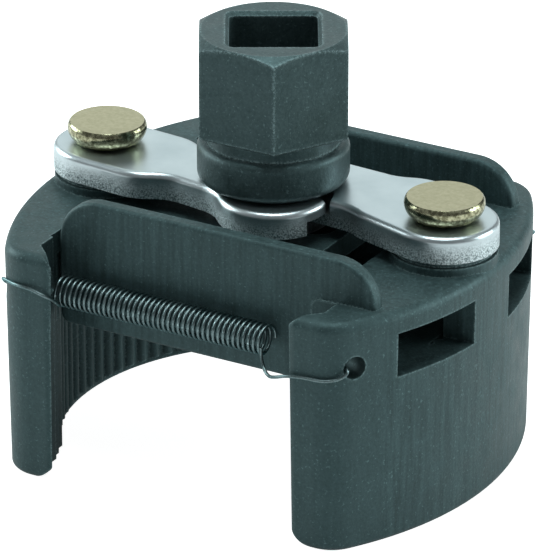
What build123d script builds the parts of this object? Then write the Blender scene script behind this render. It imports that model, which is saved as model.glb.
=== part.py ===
from build123d import *
import math
import os

# Two-way adjustable oil filter wrench.  Millimetres, +Z up, X is the line the jaws slide along.
# Origin: on the drive axis, at the level the jaws stand on.  Shown closed.

# ---- driving sizes ----
square_drive = 12.9          # half-inch square socket, across flats
hex_across_flats = 21.6      # outer hexagon for an open spanner
hex_height = 14.9
square_depth = 12.5
collar_radius = 11.2
collar_height = 6.2
collar_clearance = 0.3        # collar to the links under it
neck_radius = 9.9
neck_height = 2.1

jaw_height = 36.0            # standing face to the top of the plates
jaw_reach = 36.7             # drive axis to the outside of each jaw
outer_radius_right = 50.0
outer_radius_left = 55.0     # the left casting is a little fuller at its corners
jaw_inner_radius = 33.0
jaw_draft = 0.8              # the cups narrow this many degrees towards the standing face
jaw_wall = 4.6               # at the middle of each jaw
jaw_half_width = 30.1
jaw_corner_radius = 6.0
leg_corner_radius = 5.0
leg_shoulder_radius = 2.8
leg_bevel_depth = 4.2        # slanted ends of the legs
leg_bevel_start = 26.0
leg_lip = 0.6                # what the slant leaves of a leg's flank
leg_relief = 18.0            # below the rails the wall's end is cut back as far in as this
rim_radius = 1.5
foot_radius = 1.0            # outer edge of the standing face
front_right = 19.0           # where the right jaw's legs begin
front_left = 19.8            # where the left jaw's legs begin
plate_thickness = 3.4
rib_pitch = 2.4
rib_radius = 0.9
rib_height = 0.6

ear_outer = 22.2             # outside faces of the two side rails
ear_thickness = 2.6
ear_tip = -23.3
ear_root = 29.3
ear_rise = 6.5               # rails above the plates
ear_drop = 13.6              # rails below the plates' top; their floor sets the window height
ear_end_radius = 6.6

tongue_end = 12.6            # free end of the left jaw's upper tongue
prong_end = 24.0             # tips of the two prongs that run on under the right plate
prong_inner = 6.0
slide_gap = 0.3              # between the sliding faces
floor_start = -16.0          # free edge of the right jaw's channel floor

rivet_offset = 28.4          # rivet axes, either side of the drive axis
rivet_radius = 3.0
rivet_head_radius = 5.9
rivet_head_height = 3.2
rivet_head_lift = 0.1
boss_radius = 7.9
boss_height = 1.2
link_thickness = 4.0
link_end_radius = 8.0
eye_radius = 8.2
link_gap = 2.0               # plate top to link underside
link_blend = 7.0             # hollow curves between arm, shoulder and eye
link_edge_radius = 0.9
lap_clearance = 0.15

crank_radius = 5.2
crank_angle = -60.0
crank_pin_radius = 2.5
eye_clearance = 1.4          # play of each crank pin in its link's eye
pin_passing = 1.8            # gap between a crank pin and the other link
drive_turn = 90.0            # opening turn, degrees
half_travel = 7.35           # what each jaw moves for that turn
disc_radius = 8.6
spindle_radius = 3.0
running = 0.05

window_inner = 5.2
window_outer = 20.6
hook_hole_radius = 1.75
hook_hole_side = 27.0        # hook holes off the centre line
hook_hole_drop = 13.0

spring_radius = 2.4
wire_radius = 0.28
spring_drop = 13.0
spring_left_end = -21.6
spring_right_end = 13.7

# ---- sizes worked out from those ----
ear_inner = ear_outer - ear_thickness
ear_top = jaw_height + ear_rise
ear_bottom = jaw_height - ear_drop
link_low = jaw_height + link_gap
link_top = link_low + link_thickness
link_middle = (link_low + link_top) / 2
collar_low = link_top + collar_clearance
collar_top = collar_low + collar_height
hex_low = collar_top + neck_height
hex_top = hex_low + hex_height
outer_radius = {1: outer_radius_right, -1: outer_radius_left}
outer_centre = {side: jaw_reach - radius for side, radius in outer_radius.items()}
inner_centre = jaw_reach - jaw_wall - jaw_inner_radius
plate_low = jaw_height - plate_thickness
floor_top = ear_bottom + plate_thickness
prong_low = floor_top + slide_gap
prong_top = plate_low - slide_gap
tongue_half_width = ear_inner - 0.4
slot_half_width = spindle_radius + 0.15
block_half_length = 5.0
block_half_width = prong_inner - 0.05
eye_x = crank_radius * math.cos(math.radians(crank_angle))
eye_y = crank_radius * math.sin(math.radians(crank_angle))
spring_y = ear_outer + spring_radius + 0.3
spring_z = jaw_height + 6.0 - spring_drop
hook_z = jaw_height + 6.0 - hook_hole_drop
hook_angle = {side: math.degrees(math.asin(hook_hole_side / radius)) for side, radius in outer_radius.items()}


def upright(sketch, low, high):
    """Sketch drawn in plan, raised from one level to another."""
    return extrude(Pos(0, 0, low) * sketch, high - low)


def block(x0, x1, y0, y1, z0, z1):
    return Pos((x0 + x1) / 2, (y0 + y1) / 2, (z0 + z1) / 2) * Box(x1 - x0, y1 - y0, z1 - z0)


def post(radius, low, high, x=0.0, y=0.0):
    return Pos(x, y, (low + high) / 2) * Cylinder(radius, high - low)


def leg_end(front, side):
    """What is cut from the end of one leg: a slant on its inner side and a round shoulder on top."""
    outline = [
        (front - 2, side * (ear_outer + 0.4)),
        (front + leg_bevel_depth, side * (ear_outer + 0.4)),
        (front + leg_bevel_depth, side * leg_bevel_start),
        (front + leg_lip, side * (jaw_half_width - 0.6)),
        (front - 2, side * (jaw_half_width - 0.6)),
    ]
    slant = upright(make_face(Polyline(*outline, close=True)), -1, jaw_height + 1)
    inner_pair = sorted((side * leg_relief, side * (ear_outer + 0.5)))
    slant += block(front - 2, front + leg_bevel_depth + 0.8, inner_pair[0], inner_pair[1], -1, ear_bottom - 0.5)
    low_z = jaw_height - leg_shoulder_radius
    y_pair = sorted((side * (ear_outer + 0.4), side * 40))
    shoulder = block(front - 1, front + leg_shoulder_radius, y_pair[0], y_pair[1], low_z, jaw_height + 1)
    shoulder -= Pos(front + leg_shoulder_radius, 0, low_z) * Rot(90, 0, 0) * Cylinder(leg_shoulder_radius, 90)
    return slant + shoulder


def shell(front, jaw):
    """Half-round cup of a jaw, drawn on the +X side: plate, curved wall, two legs and gripping ribs."""
    plan = Pos(outer_centre[jaw], 0) * Circle(outer_radius[jaw])
    plan &= Pos(front + 30, 0) * Rectangle(60, 2 * jaw_half_width)
    plan = fillet(plan.vertices().filter_by(lambda v: v.X > front + 1), jaw_corner_radius)
    plan = fillet(plan.vertices().filter_by(lambda v: v.X < front + 0.01), 1.6)
    body = extrude(Pos(0, 0, jaw_height) * plan, -jaw_height, taper=jaw_draft)
    top_rim = body.faces().sort_by(Axis.Z)[-1].edges().filter_by(lambda e: e.center().X > front + 0.5)
    body = fillet(top_rim, rim_radius)
    foot = body.faces().sort_by(Axis.Z)[0].edges().filter_by(lambda e: e.center().X > front + 0.5)
    body = fillet(foot, foot_radius)
    cavity = Pos(inner_centre, 0) * Circle(jaw_inner_radius)
    body -= upright(cavity, -1, plate_low)
    pitch_angle = math.degrees(rib_pitch / jaw_inner_radius)
    rib_orbit = jaw_inner_radius + rib_radius - rib_height
    ribs = []
    for i in range(-12, 13):
        angle = math.radians(i * pitch_angle)
        x = inner_centre + rib_orbit * math.cos(angle)
        ribs.append(post(rib_radius, 0.8, plate_low + 0.5, x, rib_orbit * math.sin(angle)))
    body = body + ribs
    corner = block(front - 1, front + leg_corner_radius, -40, 40, -1, leg_corner_radius)
    roll = Pos(front + leg_corner_radius, 0, leg_corner_radius) * Rot(90, 0, 0)
    corner -= roll * Cylinder(leg_corner_radius, 90)
    body -= corner
    for side in (-1, 1):
        body -= leg_end(front, side)
    return body


def hook_holes(jaw):
    """Holes for the spring hooks, square to the curved wall at both corners of a jaw."""
    holes = []
    for side in (-1, 1):
        turn = Rot(0, 0, side * hook_angle[jaw]) * Pos(outer_radius[jaw] - 3, 0, 0) * Rot(0, 90, 0)
        holes.append(Pos(outer_centre[jaw], 0, hook_z) * turn * Cylinder(hook_hole_radius, 12))
    return holes


def side_rail(side):
    """One upright side rail of the right jaw, rounded at both upper corners."""
    length = ear_root - ear_tip
    profile = Rectangle(length, ear_top - ear_bottom)
    profile = fillet(profile.vertices().filter_by(lambda v: v.Y > 0), ear_end_radius)
    profile = fillet(profile.vertices().filter_by(lambda v: v.Y < 0), 1.5)
    middle = Pos((ear_tip + ear_root) / 2, side * ear_outer, (ear_top + ear_bottom) / 2)
    rail = extrude(middle * Rot(90, 0, 0) * profile, side * ear_thickness)
    long_edges = rail.edges().filter_by(GeomType.LINE).filter_by(Axis.X).group_by(Axis.Z)
    outer_low = long_edges[0].sort_by(lambda e: side * e.center().Y)[-1]
    return fillet(long_edges[-1] + [outer_low], 0.7)


def pivot_boss(x):
    return post(boss_radius, jaw_height - 0.5, jaw_height + boss_height, x)


def rivet_hole(x):
    """Through hole with the countersink that the rivet's tail is closed into."""
    tail = Cone(rivet_radius + 1.42, rivet_radius + 0.02, 1.4)
    return post(rivet_radius + 0.02, plate_low - 1, link_low, x) + Pos(x, 0, plate_low + 0.7) * tail


def travel_slot(direction):
    """Slot that lets the spindle move along a jaw by its half travel."""
    plan = Pos(direction * half_travel / 2, 0) * SlotCenterToCenter(half_travel, 2 * slot_half_width)
    return upright(plan, ear_bottom - 1, jaw_height + 1)


# ---- right jaw: cup, two side rails and the floor that ties them into a channel ----
jaw_right = shell(front_right, 1)
jaw_right += block(floor_start, jaw_reach - jaw_wall - 1.5, -ear_inner - 0.2, ear_inner + 0.2,
                   ear_bottom, floor_top)
jaw_right += [side_rail(-1), side_rail(1), pivot_boss(rivet_offset)]
for side in (-1, 1):
    y_pair = sorted((side * window_inner, side * window_outer))
    jaw_right -= block(front_right + 1, 45, y_pair[0], y_pair[1], floor_top, plate_low)
jaw_right -= rivet_hole(rivet_offset)
jaw_right -= hook_holes(1)
jaw_right -= travel_slot(-1)

# ---- left jaw: cup, upper tongue between the rails and two prongs that run in the channel ----
jaw_left = Rot(0, 0, 180) * shell(front_left, -1)
jaw_left += block(-front_left - 8, tongue_end, -tongue_half_width, tongue_half_width, plate_low, jaw_height)
for side in (-1, 1):
    y_pair = sorted((side * prong_inner, side * tongue_half_width))
    jaw_left += block(-jaw_reach + jaw_wall + 3, tongue_end, y_pair[0], y_pair[1], prong_low, plate_low + 0.1)
    jaw_left += block(0, prong_end, y_pair[0], y_pair[1], prong_low, prong_top)
jaw_left += pivot_boss(-rivet_offset)
for side in (-1, 1):
    y_pair = sorted((side * tongue_half_width, side * (ear_outer + 0.4)))
    jaw_left -= block(ear_tip - 1.2, 0, y_pair[0], y_pair[1], ear_bottom - 0.5, jaw_height + 1)
jaw_left -= Rot(0, 0, 180) * (rivet_hole(rivet_offset) + hook_holes(-1))
jaw_left -= travel_slot(1)


def is_hollow(plan, corner):
    """True where a plan's outline turns inward at this corner."""
    disc = Pos(corner.X, corner.Y) * Circle(0.2)
    return (plan & disc).area > 0.52 * disc.area


def link_plan(pivot_x, lobe, lobe_radius, arm, eye, grow=0.0):
    """Outline of a link in plan: round end, shoulder, arm and round eye."""
    end = Pos(pivot_x, 0) * Circle(link_end_radius + grow)
    shoulder = Pos(lobe[0], lobe[1]) * Circle(lobe_radius + grow)
    plan = make_hull(end.edges() + shoulder.edges())
    ring = Pos(eye[0], eye[1]) * Circle(eye_radius + grow)
    run = math.hypot(eye[0] - lobe[0], eye[1] - lobe[1])
    lean = math.degrees(math.atan2(eye[1] - lobe[1], eye[0] - lobe[0]))
    middle = Pos((eye[0] + lobe[0]) / 2, (eye[1] + lobe[1]) / 2) * Rot(0, 0, lean)
    plan = plan + middle * Rectangle(run, 2 * (arm + grow)) + ring
    hollows = plan.vertices().filter_by(lambda v: is_hollow(plan, v))
    return fillet(hollows, link_blend)


def orbit(own_eye, start, turn, radius):
    """Plan area that a disc of this radius covers when it circles a link's eye with the crank."""
    steps = 9
    reach = 2 * crank_radius
    track = Sketch()
    for i in range(steps + 1):
        angle = math.radians(start + turn * i / steps)
        x = own_eye[0] + reach * math.cos(angle)
        y = own_eye[1] + reach * math.sin(angle)
        track += Pos(x, y) * Circle(radius)
    return track


left_eye = (eye_x, eye_y)
right_eye = (-eye_x, -eye_y)
left_shape = (-rivet_offset, (-20.5, -0.8), 8.0, 4.6, left_eye)
right_shape = (rivet_offset, (20.3, 3.0), 8.5, 6.9, right_eye)


def link(own, other, own_eye, other_eye, start, keep_upper):
    """Flat link, half lapped where it crosses the other one under the collar."""
    plan = link_plan(*own)
    body = upright(plan, link_low, link_top)
    body = fillet(body.faces().sort_by(Axis.Z)[-1].edges(), link_edge_radius)
    crossing = link_plan(*other, grow=0.6) + orbit(own_eye, start, -drive_turn, eye_radius + 0.5)
    if keep_upper:
        body -= upright(crossing, link_low - 1, link_middle + lap_clearance)
    else:
        body -= upright(crossing, link_middle - lap_clearance, link_top + 1)
    body -= upright(orbit(own_eye, start, -drive_turn, crank_pin_radius + pin_passing), link_low - 1, link_top + 1)
    body -= post(rivet_radius + running, link_low - 1, link_top + 1, own[0])
    body -= post(crank_pin_radius + eye_clearance, link_low - 1, link_top + 1, own_eye[0], own_eye[1])
    return body


link_left = link(left_shape, right_shape, left_eye, right_eye, crank_angle + 180, True)
link_right = link(right_shape, left_shape, right_eye, left_eye, crank_angle, False)


def rivet(x):
    """Flat-headed shouldered rivet, its tail closed into the jaw's countersink."""
    head_low = link_top + rivet_head_lift
    head_top = head_low + rivet_head_height
    barrel = [
        (rivet_head_radius - 1.6, head_low),
        (rivet_head_radius - 0.8, head_low + 0.45),
        (rivet_head_radius - 0.25, head_low + 1.2),
        (rivet_head_radius, head_low + 2.1),
        (rivet_head_radius - 0.1, head_top - 0.4),
        (rivet_head_radius - 0.4, head_top),
    ]
    shank = [
        barrel[-1],
        (0, head_top),
        (0, plate_low),
        (rivet_radius + 1.4, plate_low),
        (rivet_radius, plate_low + 1.4),
        (rivet_radius, link_top + 0.03),
        (rivet_radius + 0.6, link_top + 0.03),
        (rivet_radius + 0.8, head_low),
        barrel[0],
    ]
    outline = make_face(Polyline(*shank) + Spline(*barrel))
    return Pos(x, 0, 0) * revolve(Rot(90, 0, 0) * outline, Axis.Z)


def pivot_washer(x):
    low = jaw_height + boss_height + 0.02
    high = link_low - 0.03
    return post(boss_radius - 0.5, low, high, x) - post(rivet_radius + 0.03, low - 1, high + 1, x)


# ---- drive: socket, crank pins, disc with spindle ----
turned = Rot(0, 0, crank_angle)
hexagon = upright(RegularPolygon(hex_across_flats / math.sqrt(3), 6), hex_low, hex_top)
dome = post(hex_across_flats / 2 + 4, hex_low - 1, hex_top)
dome = chamfer(dome.edges().sort_by(Axis.Z)[-1], 2.4, 4.1)
hexagon &= dome
hexagon = chamfer(hexagon.faces().sort_by(Axis.Z)[0].edges(), 0.3)
collar = post(collar_radius, collar_low, collar_top)
collar = fillet(collar.edges().sort_by(Axis.Z)[-1], 1.3)
collar = fillet(collar.edges().sort_by(Axis.Z)[0], 1.5)
socket_plan = fillet(Rectangle(square_drive, square_drive).vertices(), 0.9)
socket_hole = upright(socket_plan, hex_top - square_depth, hex_top + 1)
mouth = loft([Pos(0, 0, hex_top - 0.6) * socket_plan,
              Pos(0, 0, hex_top + 0.01) * fillet(Rectangle(square_drive + 1.2, square_drive + 1.2).vertices(), 1.5)])
drive_socket = hexagon + post(neck_radius, collar_top - 0.5, hex_low + 0.5) + collar - socket_hole - mouth
for reach in (-crank_radius, crank_radius):
    drive_socket -= post(crank_pin_radius + 0.01, collar_low - 1, collar_low + 4, reach)
drive_socket = turned * drive_socket

disc_low = jaw_height + 0.15
disc_high = link_low - 0.15
crank_disc = post(disc_radius, disc_low, disc_high)
spindle_end = ear_bottom - 3.0
crank_disc += post(spindle_radius, spindle_end, disc_low + 0.5)
groove_low = ear_bottom - 1.9
groove_high = ear_bottom - 1.0
crank_disc -= post(spindle_radius + 1, groove_low, groove_high) - post(spindle_radius - 0.6, groove_low, groove_high)
for reach in (-crank_radius, crank_radius):
    crank_disc -= post(crank_pin_radius + 0.01, disc_low - 1, disc_high + 1, reach)
crank_disc = turned * crank_disc


def crank_pin(reach):
    pin = post(crank_pin_radius, disc_low, collar_low + 3.9)
    return turned * Pos(reach, 0, 0) * chamfer(pin.edges().filter_by(GeomType.CIRCLE), 0.25)


slide_block = block(-block_half_length, block_half_length, -block_half_width, block_half_width,
                    floor_top + 0.1, plate_low - 0.1)
slide_block = chamfer(slide_block.edges().filter_by(Axis.Z), 0.5)
slide_block -= post(spindle_radius + running, ear_bottom, jaw_height)
spindle_washer = post(6.4, ear_bottom - 0.95, ear_bottom - 0.1)
spindle_washer -= post(spindle_radius + 0.03, ear_bottom - 2, ear_bottom)
retaining_ring = post(4.7, groove_low + 0.05, groove_high - 0.05)
retaining_ring -= post(spindle_radius - 0.58, groove_low - 1, groove_high + 1)
retaining_ring -= block(1.0, 6.0, -1.4, 1.4, groove_low - 1, groove_high + 1)


def wire(points):
    path = FilletPolyline(*points, radius=0.6)
    return sweep(Plane(path @ 0, z_dir=path % 0) * Circle(wire_radius), path, transition=Transition.ROUND)


def on_wall(side_x, side_y, angle, z, lift):
    """Point just outside the curved wall, at this angle round the jaw's outer arc."""
    reach = outer_radius[side_x] + lift
    x = outer_centre[side_x] + reach * math.cos(math.radians(angle))
    y = reach * math.sin(math.radians(angle))
    return (side_x * x, side_y * y, z)


def on_corner(side_x, side_y, angle, z, lift):
    """Point just outside the rounded corner between a leg's flank and the curved wall."""
    inset = outer_radius[side_x] - jaw_corner_radius
    middle_y = jaw_half_width - jaw_corner_radius
    middle_x = outer_centre[side_x] + math.sqrt(inset ** 2 - middle_y ** 2)
    reach = jaw_corner_radius + lift
    x = middle_x + reach * math.cos(math.radians(angle))
    y = middle_y + reach * math.sin(math.radians(angle))
    return (side_x * x, side_y * y, z)


def spring(side):
    """Close-wound extension spring beside a rail, its two ends led round the legs into the hook holes."""
    tube = Cylinder(spring_radius, spring_right_end - spring_left_end) - Cylinder(
        spring_radius - 2 * wire_radius, spring_right_end - spring_left_end)
    coil = Pos((spring_left_end + spring_right_end) / 2, side * spring_y, spring_z) * Rot(0, 90, 0) * tube
    beside = jaw_half_width + 0.55
    rim_y = side * (spring_y + spring_radius - wire_radius)
    right_tail = wire([
        (spring_right_end - 0.4, rim_y, spring_z - 0.4),
        (front_right - 3.2, side * (beside - 0.6), spring_z - 1.9),
        (front_right + 1.0, side * (beside + 0.2), spring_z - 1.6),
        on_corner(1, side, 72, spring_z - 1.5, 0.65),
        on_corner(1, side, 50, spring_z - 1.6, 0.65),
        on_wall(1, side, hook_angle[1] + 0.5, hook_z - 0.2, 0.6),
        on_wall(1, side, hook_angle[1] + 0.4, hook_z - 0.2, -3.0),
    ])
    left_tail = wire([
        (spring_left_end + 0.4, rim_y, spring_z - 0.4),
        (-front_left - 0.6, side * (beside + 0.2), spring_z + 1.0),
        on_corner(-1, side, 78, spring_z + 1.3, 0.75),
        on_corner(-1, side, 52, spring_z + 0.8, 0.75),
        on_wall(-1, side, hook_angle[-1] + 0.5, hook_z, 0.6),
        on_wall(-1, side, hook_angle[-1] + 0.4, hook_z, -3.0),
    ])
    return coil + right_tail + left_tail


pieces = {
    "jaw_right": jaw_right,
    "jaw_left": jaw_left,
    "link_left": link_left,
    "link_right": link_right,
    "rivet_left": rivet(-rivet_offset),
    "rivet_right": rivet(rivet_offset),
    "pivot_washer_left": pivot_washer(-rivet_offset),
    "pivot_washer_right": pivot_washer(rivet_offset),
    "drive_socket": drive_socket,
    "crank_pin_front": crank_pin(crank_radius),
    "crank_pin_rear": crank_pin(-crank_radius),
    "crank_disc": crank_disc,
    "slide_block": slide_block,
    "spindle_washer": spindle_washer,
    "retaining_ring": retaining_ring,
    "spring_front": spring(-1),
    "spring_rear": spring(1),
}

os.makedirs("parts", exist_ok=True)
for name, shape in pieces.items():
    export_step(shape, "parts/" + name + ".step")
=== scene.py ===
import bpy
import math
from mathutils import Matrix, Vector


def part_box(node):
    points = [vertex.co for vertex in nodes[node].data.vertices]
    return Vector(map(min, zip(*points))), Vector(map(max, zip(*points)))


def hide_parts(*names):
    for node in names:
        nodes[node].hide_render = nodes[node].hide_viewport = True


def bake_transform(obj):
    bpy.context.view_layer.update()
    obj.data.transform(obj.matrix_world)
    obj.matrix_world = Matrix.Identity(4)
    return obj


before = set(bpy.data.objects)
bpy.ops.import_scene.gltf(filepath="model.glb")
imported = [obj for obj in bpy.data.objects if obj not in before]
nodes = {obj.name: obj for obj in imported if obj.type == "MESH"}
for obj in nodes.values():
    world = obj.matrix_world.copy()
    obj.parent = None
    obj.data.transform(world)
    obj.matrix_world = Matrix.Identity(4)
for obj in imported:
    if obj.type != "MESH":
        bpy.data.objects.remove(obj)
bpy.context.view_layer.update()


# ---- The two jaws ----
# Iron castings with a grey-green phosphate coat.  The right one carries the side rails and the
# channel floor, the left one slides between the rails on its tongue and prongs.

def speckle_group():
    """Shared finish of a blasted and coated surface: fine grain, mottling and pale specks."""
    tree = bpy.data.node_groups.new("coated grain", "ShaderNodeTree")
    for name, default in (("Grain per metre", 2600.0), ("Mottle per metre", 260.0), ("Speck amount", 0.5)):
        socket = tree.interface.new_socket(name, in_out="INPUT", socket_type="NodeSocketFloat")
        socket.default_value = default
    for name in ("Grain", "Mottle", "Specks"):
        tree.interface.new_socket(name, in_out="OUTPUT", socket_type="NodeSocketFloat")
    new, link = tree.nodes.new, tree.links.new
    source, result = new("NodeGroupInput"), new("NodeGroupOutput")
    place = new("ShaderNodeTexCoord")
    grain, mottle = new("ShaderNodeTexNoise"), new("ShaderNodeTexNoise")
    speck = new("ShaderNodeTexNoise")
    for noise, detail, socket in ((grain, 3.0, 0), (mottle, 5.0, 1)):
        noise.inputs["Detail"].default_value = detail
        noise.inputs["Roughness"].default_value = 0.62
        link(place.outputs["Object"], noise.inputs["Vector"])
        link(source.outputs[socket], noise.inputs["Scale"])
    speck.inputs["Scale"].default_value = 2300.0
    speck.inputs["Detail"].default_value = 2.0
    link(place.outputs["Object"], speck.inputs["Vector"])
    lift = new("ShaderNodeMapRange")
    lift.inputs["From Min"].default_value = 0.62
    lift.inputs["From Max"].default_value = 0.74
    link(speck.outputs["Fac"], lift.inputs["Value"])
    amount = new("ShaderNodeMath")
    amount.operation = "MULTIPLY"
    link(lift.outputs["Result"], amount.inputs[0])
    link(source.outputs["Speck amount"], amount.inputs[1])
    link(grain.outputs["Fac"], result.inputs["Grain"])
    link(mottle.outputs["Fac"], result.inputs["Mottle"])
    link(amount.outputs["Value"], result.inputs["Specks"])
    return tree


def edge_group():
    """Shared wear mask: white along edges and inner corners, broken up into specks."""
    tree = bpy.data.node_groups.new("edge wear", "ShaderNodeTree")
    for name, default in (("Width", 0.0004), ("Break-up", 0.85)):
        socket = tree.interface.new_socket(name, in_out="INPUT", socket_type="NodeSocketFloat")
        socket.default_value = default
    tree.interface.new_socket("Wear", in_out="OUTPUT", socket_type="NodeSocketFloat")
    new, link = tree.nodes.new, tree.links.new
    source, result = new("NodeGroupInput"), new("NodeGroupOutput")
    rounded = new("ShaderNodeBevel")
    rounded.samples = 6
    link(source.outputs["Width"], rounded.inputs["Radius"])
    surface = new("ShaderNodeNewGeometry")
    dot = new("ShaderNodeVectorMath")
    dot.operation = "DOT_PRODUCT"
    link(rounded.outputs["Normal"], dot.inputs[0])
    link(surface.outputs["Normal"], dot.inputs[1])
    turn = new("ShaderNodeMapRange")
    turn.inputs["From Min"].default_value = 0.995
    turn.inputs["From Max"].default_value = 0.86
    link(dot.outputs["Value"], turn.inputs["Value"])
    place, noise = new("ShaderNodeTexCoord"), new("ShaderNodeTexNoise")
    noise.inputs["Scale"].default_value = 3000.0
    noise.inputs["Detail"].default_value = 3.0
    link(place.outputs["Object"], noise.inputs["Vector"])
    patch = new("ShaderNodeMapRange")
    patch.inputs["From Min"].default_value = 0.44
    patch.inputs["From Max"].default_value = 0.58
    link(noise.outputs["Fac"], patch.inputs["Value"])
    flat = new("ShaderNodeMath")
    flat.operation = "SUBTRACT"
    flat.inputs[0].default_value = 1.0
    link(source.outputs["Break-up"], flat.inputs[1])
    link(flat.outputs["Value"], patch.inputs["To Min"])
    wear = new("ShaderNodeMath")
    wear.operation = "MULTIPLY"
    link(turn.outputs["Result"], wear.inputs[0])
    link(patch.outputs["Result"], wear.inputs[1])
    link(wear.outputs["Value"], result.inputs["Wear"])
    return tree


coated_grain = speckle_group()
edge_wear = edge_group()
speck_lift = 2.6             # a speck against the pale tone of its coat
clear_of_rail, at_rail = 0.0228, 0.0223    # off the centre line; drag marks fade between these


def mix_colours(tree, amount, under, over):
    """Lays one colour over another by a mask; over is a socket or a fixed colour."""
    mix = tree.nodes.new("ShaderNodeMix")
    mix.data_type = "RGBA"
    amount_in, under_in, over_in, colour_out = mix.inputs[0], mix.inputs[6], mix.inputs[7], mix.outputs[2]
    tree.links.new(amount, amount_in)
    tree.links.new(under, under_in)
    if isinstance(over, tuple):
        over_in.default_value = over
    else:
        tree.links.new(over, over_in)
    return colour_out


def drawn_lines(tree, colour, depth):
    """Upright drag marks left by the mould, strong on the side rails and faint elsewhere."""
    new, link = tree.nodes.new, tree.links.new
    place, stretch, lines = new("ShaderNodeTexCoord"), new("ShaderNodeMapping"), new("ShaderNodeTexNoise")
    stretch.inputs["Scale"].default_value = (1.0, 1.0, 0.06)
    lines.inputs["Scale"].default_value = 1500.0
    lines.inputs["Detail"].default_value = 2.0
    link(place.outputs["Object"], stretch.inputs["Vector"])
    link(stretch.outputs["Vector"], lines.inputs["Vector"])
    across, spread = new("ShaderNodeSeparateXYZ"), new("ShaderNodeMath")
    spread.operation = "ABSOLUTE"
    link(place.outputs["Object"], across.inputs["Vector"])
    link(across.outputs["Y"], spread.inputs[0])
    on_rail = new("ShaderNodeMapRange")
    on_rail.inputs["From Min"].default_value = clear_of_rail
    on_rail.inputs["From Max"].default_value = at_rail
    on_rail.inputs["To Min"].default_value = 0.25
    link(spread.outputs["Value"], on_rail.inputs["Value"])
    swing = new("ShaderNodeMapRange")
    swing.inputs["From Min"].default_value = 0.3
    swing.inputs["From Max"].default_value = 0.7
    swing.inputs["To Min"].default_value = -depth
    swing.inputs["To Max"].default_value = depth
    link(lines.outputs["Fac"], swing.inputs["Value"])
    fade = new("ShaderNodeMath")
    fade.operation = "MULTIPLY_ADD"
    fade.inputs[2].default_value = 1.0
    link(swing.outputs["Result"], fade.inputs[0])
    link(on_rail.outputs["Result"], fade.inputs[1])
    scale = new("ShaderNodeVectorMath")
    scale.operation = "SCALE"
    link(colour, scale.inputs[0])
    link(fade.outputs["Value"], scale.inputs["Scale"])
    return scale.outputs["Vector"]


def coated(name, dark, pale, worn, metallic, smooth, rough, grain_size, bump, wear_width, streaks=0.0):
    """Coated or bare metal: two-tone mottle, pale specks, worn edges, fine bump, and drag marks if asked."""
    material = bpy.data.materials.new(name)
    material.use_nodes = True
    tree = material.node_tree
    new, link = tree.nodes.new, tree.links.new
    shader = tree.nodes["Principled BSDF"]
    shader.inputs["Metallic"].default_value = metallic
    shader.inputs["Specular IOR Level"].default_value = 0.5
    shader.inputs["Specular Tint"].default_value = (0.6, 0.96, 1.0, 1)
    grain = new("ShaderNodeGroup")
    grain.node_tree = coated_grain
    grain.inputs["Grain per metre"].default_value = grain_size
    wear = new("ShaderNodeGroup")
    wear.node_tree = edge_wear
    wear.inputs["Width"].default_value = wear_width
    tone = new("ShaderNodeValToRGB")
    tone.color_ramp.elements[0].position = 0.3
    tone.color_ramp.elements[0].color = (*dark, 1)
    tone.color_ramp.elements[1].position = 0.72
    tone.color_ramp.elements[1].color = (*pale, 1)
    blend = new("ShaderNodeMath")
    blend.operation = "MULTIPLY_ADD"
    blend.inputs[1].default_value = 0.55
    link(grain.outputs["Grain"], blend.inputs[0])
    half = new("ShaderNodeMath")
    half.operation = "MULTIPLY"
    half.inputs[1].default_value = 0.45
    link(grain.outputs["Mottle"], half.inputs[0])
    link(half.outputs["Value"], blend.inputs[2])
    link(blend.outputs["Value"], tone.inputs["Fac"])
    colour = tone.outputs["Color"]
    if streaks:
        colour = drawn_lines(tree, colour, streaks)
    speck_colour = (*[min(1.0, speck_lift * level) for level in pale], 1)
    colour = mix_colours(tree, grain.outputs["Specks"], colour, speck_colour)
    colour = mix_colours(tree, wear.outputs["Wear"], colour, (*worn, 1))
    link(colour, shader.inputs["Base Color"])
    shine = new("ShaderNodeMapRange")
    shine.inputs["From Min"].default_value = 0.3
    shine.inputs["From Max"].default_value = 0.7
    shine.inputs["To Min"].default_value = smooth
    shine.inputs["To Max"].default_value = rough
    link(grain.outputs["Mottle"], shine.inputs["Value"])
    link(shine.outputs["Result"], shader.inputs["Roughness"])
    relief = new("ShaderNodeBump")
    relief.inputs["Strength"].default_value = bump
    relief.inputs["Distance"].default_value = 0.00012
    link(grain.outputs["Grain"], relief.inputs["Height"])
    link(relief.outputs["Normal"], shader.inputs["Normal"])
    return material


jaw_coat = coated("grey-green casting coat", dark=(0.016, 0.029, 0.03), pale=(0.047, 0.077, 0.08),
                  worn=(0.15, 0.22, 0.225), metallic=0.0, smooth=0.42, rough=0.6, grain_size=2600.0,
                  bump=0.35, wear_width=0.0006, streaks=0.3)


def coat(node, material):
    """Gives a piece of the frame its finish."""
    mesh = nodes[node].data
    mesh.materials.clear()
    mesh.materials.append(material)


for jaw in ("jaw_left", "jaw_right"):
    coat(jaw, jaw_coat)


# ---- The two links ----
# Stamped steel bars with a bright zinc plate.  The top is smooth, the lower part of the sheared
# side is torn and dull.  Each turns on a rivet at one end and on a crank pin at the other.

torn_begins, torn_through = 0.0036, 0.0016     # above the link's underside, in metres
ragged_reach = 0.0012                          # how far the torn edge wanders up and down


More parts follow.
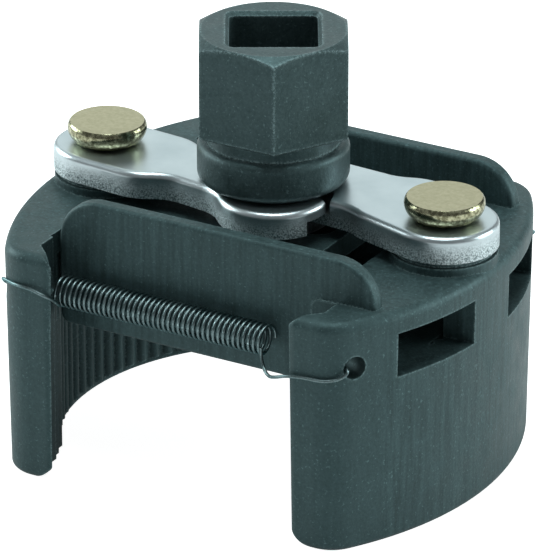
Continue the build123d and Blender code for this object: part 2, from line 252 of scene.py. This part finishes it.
def bright_plate():
    """Zinc plate: clouded and bright on top, gritty and dull where the sheared side is torn."""
    material = bpy.data.materials.new("bright zinc plate")
    material.use_nodes = True
    tree = material.node_tree
    new, link = tree.nodes.new, tree.links.new
    shader = tree.nodes["Principled BSDF"]
    shader.inputs["Metallic"].default_value = 1.0
    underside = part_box("link_left")[0].z
    place = new("ShaderNodeTexCoord")
    part, side = new("ShaderNodeSeparateXYZ"), new("ShaderNodeSeparateXYZ")
    link(place.outputs["Object"], part.inputs["Vector"])
    ragged = new("ShaderNodeTexNoise")
    ragged.inputs["Scale"].default_value = 1100.0
    ragged.inputs["Detail"].default_value = 5.0
    link(place.outputs["Object"], ragged.inputs["Vector"])
    shift = new("ShaderNodeMath")
    shift.operation = "MULTIPLY_ADD"
    shift.inputs[1].default_value = ragged_reach
    link(ragged.outputs["Fac"], shift.inputs[0])
    link(part.outputs["Z"], shift.inputs[2])
    torn = new("ShaderNodeMapRange")
    torn.inputs["From Min"].default_value = underside + torn_begins
    torn.inputs["From Max"].default_value = underside + torn_through
    link(shift.outputs["Value"], torn.inputs["Value"])
    shape = new("ShaderNodeNewGeometry")
    link(shape.outputs["Normal"], side.inputs["Vector"])
    upright = new("ShaderNodeMapRange")
    upright.inputs["From Min"].default_value = 0.5
    upright.inputs["From Max"].default_value = 0.2
    link(side.outputs["Z"], upright.inputs["Value"])
    both = new("ShaderNodeMath")
    both.operation = "MULTIPLY"
    link(torn.outputs["Result"], both.inputs[0])
    link(upright.outputs["Result"], both.inputs[1])
    grit = new("ShaderNodeTexNoise")
    grit.inputs["Scale"].default_value = 4200.0
    grit.inputs["Detail"].default_value = 5.0
    link(place.outputs["Object"], grit.inputs["Vector"])
    cloud = new("ShaderNodeTexNoise")
    cloud.inputs["Scale"].default_value = 160.0
    cloud.inputs["Detail"].default_value = 3.0
    link(place.outputs["Object"], cloud.inputs["Vector"])
    tone = new("ShaderNodeValToRGB")
    tone.color_ramp.elements[0].position = 0.3
    tone.color_ramp.elements[0].color = (0.53, 0.6, 0.625, 1)
    tone.color_ramp.elements[1].position = 0.7
    tone.color_ramp.elements[1].color = (0.64, 0.705, 0.73, 1)
    link(cloud.outputs["Fac"], tone.inputs["Fac"])
    burr = new("ShaderNodeValToRGB")
    burr.color_ramp.elements[0].position = 0.36
    burr.color_ramp.elements[0].color = (0.17, 0.22, 0.23, 1)
    burr.color_ramp.elements[1].position = 0.6
    burr.color_ramp.elements[1].color = (0.72, 0.79, 0.81, 1)
    link(grit.outputs["Fac"], burr.inputs["Fac"])
    plate_colour = mix_colours(tree, both.outputs["Value"], tone.outputs["Color"], burr.outputs["Color"])
    link(plate_colour, shader.inputs["Base Color"])
    shine = new("ShaderNodeMapRange")
    shine.inputs["To Min"].default_value = 0.33
    shine.inputs["To Max"].default_value = 0.55
    link(both.outputs["Value"], shine.inputs["Value"])
    link(shine.outputs["Result"], shader.inputs["Roughness"])
    depth = new("ShaderNodeMath")
    depth.operation = "MULTIPLY"
    link(grit.outputs["Fac"], depth.inputs[0])
    link(both.outputs["Value"], depth.inputs[1])
    relief = new("ShaderNodeBump")
    relief.inputs["Strength"].default_value = 0.55
    relief.inputs["Distance"].default_value = 0.0002
    link(depth.outputs["Value"], relief.inputs["Height"])
    link(relief.outputs["Normal"], shader.inputs["Normal"])
    return material


link_plate = bright_plate()
for bar in ("link_left", "link_right"):
    coat(bar, link_plate)


# ---- The two rivets ----
# Turned steel with a pale yellow passivated plate: matte flat top and a rubbed, blotched barrelled side;
# painted shade makes the side, the underside of the head and the neck darker than the top.
# Each is closed into the underside of its jaw and is the pivot of its link.

def yellow_plate():
    """Passivated plate: even and matte on the flat top; round the side it is blotched by rubbing, and
    painted shade darkens the side, the underside and the neck.
    """
    material = bpy.data.materials.new("pale yellow plate")
    material.use_nodes = True
    tree = material.node_tree
    new, link = tree.nodes.new, tree.links.new
    shader = tree.nodes["Principled BSDF"]
    shader.inputs["Metallic"].default_value = 1.0
    place, shape = new("ShaderNodeTexCoord"), new("ShaderNodeNewGeometry")
    side = new("ShaderNodeSeparateXYZ")
    link(shape.outputs["Normal"], side.inputs["Vector"])
    facing = new("ShaderNodeMapRange")
    facing.inputs["From Min"].default_value = 0.9
    facing.inputs["From Max"].default_value = 0.99
    link(side.outputs["Z"], facing.inputs["Value"])
    fine = new("ShaderNodeTexNoise")
    fine.inputs["Scale"].default_value = 1800.0
    fine.inputs["Detail"].default_value = 4.0
    link(place.outputs["Object"], fine.inputs["Vector"])
    tone = new("ShaderNodeValToRGB")
    tone.color_ramp.elements[0].position = 0.3
    tone.color_ramp.elements[0].color = (0.46, 0.42, 0.275, 1)
    tone.color_ramp.elements[1].position = 0.7
    tone.color_ramp.elements[1].color = (0.56, 0.51, 0.35, 1)
    link(fine.outputs["Fac"], tone.inputs["Fac"])
    # painted shade: every face not turned up (the head's side and underside, and the neck) takes this darker
    # blotched colour; the blotches stand for rubbing, the darkening for shade
    rubbed_and_shaded_side = new("ShaderNodeValToRGB")
    rubbed_and_shaded_side.color_ramp.elements[0].position = 0.42
    rubbed_and_shaded_side.color_ramp.elements[0].color = (0.2, 0.19, 0.115, 1)
    rubbed_and_shaded_side.color_ramp.elements[1].position = 0.6
    rubbed_and_shaded_side.color_ramp.elements[1].color = (0.55, 0.53, 0.35, 1)
    link(fine.outputs["Fac"], rubbed_and_shaded_side.inputs["Fac"])
    head_colour = mix_colours(tree, facing.outputs["Result"], rubbed_and_shaded_side.outputs["Color"], tone.outputs["Color"])
    link(head_colour, shader.inputs["Base Color"])
    shine = new("ShaderNodeMapRange")
    shine.inputs["To Min"].default_value = 0.24
    shine.inputs["To Max"].default_value = 0.5
    link(facing.outputs["Result"], shine.inputs["Value"])
    link(shine.outputs["Result"], shader.inputs["Roughness"])
    relief = new("ShaderNodeBump")
    relief.inputs["Strength"].default_value = 0.25
    relief.inputs["Distance"].default_value = 0.0001
    link(fine.outputs["Fac"], relief.inputs["Height"])
    link(relief.outputs["Normal"], shader.inputs["Normal"])
    return material


rivet_plate = yellow_plate()
for rivet in ("rivet_left", "rivet_right"):
    coat(rivet, rivet_plate)


# ---- The drive ----
# Forged steel socket with an outer hexagon, dark phosphate coat rubbed bright on its edges,
# on a round collar.  The pivot washers under the links have the same finish.

forged_coat = coated("dark forged coat", dark=(0.011, 0.02, 0.021), pale=(0.053, 0.08, 0.082),
                     worn=(0.24, 0.33, 0.34), metallic=0.0, smooth=0.32, rough=0.5, grain_size=2100.0,
                     bump=0.5, wear_width=0.0009)
for piece in ("drive_socket", "pivot_washer_left", "pivot_washer_right"):
    coat(piece, forged_coat)


# ---- The hidden works ----
# Crank pins, disc with its spindle, slide block, washer and retaining ring: plain turned steel,
# lightly oiled, seen only from below or when the jaws are open.

plain_steel = coated("plain turned steel", dark=(0.34, 0.35, 0.36), pale=(0.52, 0.53, 0.54),
                     worn=(0.7, 0.7, 0.7), metallic=1.0, smooth=0.25, rough=0.4, grain_size=3000.0,
                     bump=0.12, wear_width=0.0003)
for piece in ("crank_pin_front", "crank_pin_rear", "crank_disc", "slide_block", "spindle_washer",
              "retaining_ring"):
    coat(piece, plain_steel)


# ---- The two springs ----
# Extension springs of hard-drawn wire, wound on a mandrel, one beside each rail.  The ends are led
# round the legs and hooked into the jaws, so they pull the jaws shut on the filter.

spring_turns, coil_radius, wire_radius = 41.78, 0.00214, 0.00025       # radii in metres
coil_start, coil_length = Vector((-0.02132, -0.0249, 0.029)), 0.03474
mm_per_metre = 1000
# the hooks' routes beside the front rail, in millimetres, from the coil's end into the jaw
left_hook = ((-21.32, -24.9, 26.88), (-20.9, -25.9, 26.95), (-20.1, -27.7, 28.0), (-19.9, -29.6, 29.6),
             (-20.8, -30.75, 30.5), (-23.0, -30.55, 31.0), (-25.6, -30.4, 31.0), (-28.0, -28.9, 30.6),
             (-29.6, -28.0, 30.4), (-29.2, -27.1, 29.1), (-26.3, -26.6, 28.9))
right_hook = ((13.42, -26.98, 28.6), (13.5, -27.1, 27.4), (14.2, -27.7, 25.9), (15.6, -28.7, 25.3),
              (17.4, -29.9, 26.1), (19.4, -30.6, 27.1), (22.5, -30.45, 27.45), (25.2, -30.35, 27.4),
              (27.3, -29.3, 27.7), (28.5, -28.6, 28.7), (27.9, -27.9, 29.2), (26.2, -26.9, 29.1))


def winding_tree():
    """Winds the coil, adds the hooked ends to it and draws the wire along both."""
    tree = bpy.data.node_groups.new("wound spring", "GeometryNodeTree")
    kinds = (("Hooks", "NodeSocketGeometry"), ("Turns", "NodeSocketFloat"),
             ("Coil radius", "NodeSocketFloat"), ("Coil length", "NodeSocketFloat"),
             ("Wire radius", "NodeSocketFloat"), ("Coil start", "NodeSocketVector"),
             ("Left handed", "NodeSocketBool"), ("Wire", "NodeSocketMaterial"))
    for name, kind in kinds:
        tree.interface.new_socket(name, in_out="INPUT", socket_type=kind)
    tree.interface.new_socket("Spring", in_out="OUTPUT", socket_type="NodeSocketGeometry")
    new, link = tree.nodes.new, tree.links.new
    given, result = new("NodeGroupInput"), new("NodeGroupOutput")
    coil = new("GeometryNodeCurveSpiral")
    coil.inputs["Resolution"].default_value = 20
    for given_name, inner in (("Turns", "Rotations"), ("Coil radius", "Start Radius"),
                              ("Coil radius", "End Radius"), ("Coil length", "Height"),
                              ("Left handed", "Reverse")):
        link(given.outputs[given_name], coil.inputs[inner])
    lay = new("GeometryNodeTransform")
    lay.inputs["Rotation"].default_value = (0, math.pi / 2, 0)
    link(coil.outputs["Curve"], lay.inputs["Geometry"])
    link(given.outputs["Coil start"], lay.inputs["Translation"])
    both = new("GeometryNodeJoinGeometry")
    link(given.outputs["Hooks"], both.inputs["Geometry"])
    link(lay.outputs["Geometry"], both.inputs["Geometry"])
    section = new("GeometryNodeCurvePrimitiveCircle")
    section.inputs["Resolution"].default_value = 9
    link(given.outputs["Wire radius"], section.inputs["Radius"])
    drawn = new("GeometryNodeCurveToMesh")
    drawn.inputs["Fill Caps"].default_value = True
    link(both.outputs["Geometry"], drawn.inputs["Curve"])
    link(section.outputs["Curve"], drawn.inputs["Profile Curve"])
    smooth = new("GeometryNodeSetShadeSmooth")
    real = new("GeometryNodeRealizeInstances")
    finish = new("GeometryNodeSetMaterial")
    link(drawn.outputs["Mesh"], smooth.inputs["Geometry"])
    link(smooth.outputs["Geometry"], real.inputs["Geometry"])
    link(real.outputs["Geometry"], finish.inputs["Geometry"])
    link(given.outputs["Wire"], finish.inputs["Material"])
    link(finish.outputs["Geometry"], result.inputs["Spring"])
    return tree


winding = winding_tree()
spring_wire = coated("oiled spring wire", dark=(0.06, 0.09, 0.093), pale=(0.27, 0.35, 0.36),
                     worn=(0.5, 0.53, 0.53), metallic=1.0, smooth=0.28, rough=0.42, grain_size=3500.0,
                     bump=0.1, wear_width=0.0002)


def wind_spring(name, side):
    """One spring with its hooks; side is 1 beside the front rail and -1 beside the rear one."""
    hooks = bpy.data.curves.new(name, "CURVE")
    hooks.dimensions = "3D"
    hooks.resolution_u = 6
    for route in (left_hook, right_hook):
        spline = hooks.splines.new("NURBS")
        spline.points.add(len(route) - 1)
        for point, (x, y, z) in zip(spline.points, route):
            point.co = (x / mm_per_metre, side * y / mm_per_metre, z / mm_per_metre, 1)
        spline.order_u = 3
        spline.use_endpoint_u = True
    maker = bpy.data.objects.new(name + " maker", hooks)
    bpy.context.scene.collection.objects.link(maker)
    modifier = maker.modifiers.new("winding", "NODES")
    modifier.node_group = winding
    place = Vector((coil_start.x, side * coil_start.y, coil_start.z))
    sizes = {"Turns": spring_turns, "Coil radius": coil_radius, "Coil length": coil_length,
             "Wire radius": wire_radius, "Coil start": place, "Left handed": side < 0,
             "Wire": spring_wire}
    for socket in winding.interface.items_tree:
        if socket.in_out == "INPUT" and socket.name in sizes:
            modifier[socket.identifier] = sizes[socket.name]
    depsgraph = bpy.context.evaluated_depsgraph_get()
    mesh = bpy.data.meshes.new_from_object(maker.evaluated_get(depsgraph), depsgraph=depsgraph)
    bpy.data.objects.remove(maker)
    mesh.name = name
    spring = bpy.data.objects.new(name, mesh)
    bpy.context.scene.collection.objects.link(spring)
    return spring


for node, side in (("spring_front", 1), ("spring_rear", -1)):
    spring = wind_spring("wound_" + node, side)
    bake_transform(spring)
    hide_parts(node)


# ---- Floor, light and camera ----
# A plain pale floor, soft boxes at both sides, behind and overhead, and a long lens.
# The lamps are a little cool.

floor_mesh = bpy.data.meshes.new("floor")
floor_mesh.from_pydata([(-3, -3, 0), (3, -3, 0), (3, 3, 0), (-3, 3, 0)], [], [(0, 1, 2, 3)])
floor = bpy.data.objects.new("floor", floor_mesh)
bpy.context.scene.collection.objects.link(floor)
pale_floor = bpy.data.materials.new("pale floor")
pale_floor.use_nodes = True
floor_nodes, floor_links = pale_floor.node_tree.nodes, pale_floor.node_tree.links
floor_shader = floor_nodes["Principled BSDF"]
floor_shader.inputs["Base Color"].default_value = (0.75, 0.75, 0.75, 1)
floor_shader.inputs["Roughness"].default_value = 0.9
floor_shader.inputs["Emission Color"].default_value = (1, 1, 1, 1)
seen, glow = floor_nodes.new("ShaderNodeLightPath"), floor_nodes.new("ShaderNodeMapRange")
glow.inputs["To Min"].default_value = 0.2
glow.inputs["To Max"].default_value = 0.95
floor_links.new(seen.outputs["Is Camera Ray"], glow.inputs["Value"])
floor_links.new(glow.outputs["Result"], floor_shader.inputs["Emission Strength"])
floor_mesh.materials.append(pale_floor)

world = bpy.data.worlds.new("studio")
bpy.context.scene.world = world
world.use_nodes = True
sky = world.node_tree.nodes["Background"]
sky.inputs["Color"].default_value = (0.93, 0.98, 1.0, 1)
sky.inputs["Strength"].default_value = 0.2
lamp_colour, object_middle = (0.88, 1.0, 1.0), Vector((0, 0, 0.03))


def soft_box(name, place, width, height, watts):
    """A rectangular lamp turned to the middle of the object."""
    lamp = bpy.data.lights.new(name, "AREA")
    lamp.shape = "RECTANGLE"
    lamp.size, lamp.size_y = width, height
    lamp.energy = watts
    lamp.color = lamp_colour
    box = bpy.data.objects.new(name, lamp)
    bpy.context.scene.collection.objects.link(box)
    box.location = place
    box.rotation_euler = (object_middle - Vector(place)).to_track_quat("-Z", "Y").to_euler()


soft_box("left box", (-0.75, -0.05, 0.32), 0.5, 0.45, 4.0)
soft_box("right box", (0.7, 0.45, 0.3), 0.5, 0.45, 4.4)
soft_box("back box", (-0.4, 0.75, 0.48), 1.0, 0.7, 1.75)
soft_box("top box", (0.0, 0.0, 0.9), 0.5, 0.5, 4.6)

camera_turn, camera_tilt, camera_reach = math.radians(29.84), math.radians(24.32), 0.851
aim_height, aim_left, aim_down = 0.042, 0.00087, 0.01426
back = Vector((math.sin(camera_turn) * math.cos(camera_tilt),
               -math.cos(camera_turn) * math.cos(camera_tilt),
               math.sin(camera_tilt)))
right = Vector((math.cos(camera_turn), math.sin(camera_turn), 0))
up = back.cross(right)
lens = bpy.data.cameras.new("camera")
lens.sensor_width = 36.0
lens.lens = 380.0
lens.clip_start, lens.clip_end = 0.05, 20
camera = bpy.data.objects.new("camera", lens)
bpy.context.scene.collection.objects.link(camera)
aim = Vector((0, 0, aim_height)) - aim_left * right - aim_down * up
camera.location = aim + camera_reach * back
camera.rotation_mode = "QUATERNION"
camera.rotation_quaternion = (-back).to_track_quat("-Z", "Y")
bpy.context.scene.camera = camera
bpy.context.scene.view_settings.view_transform = "Standard"
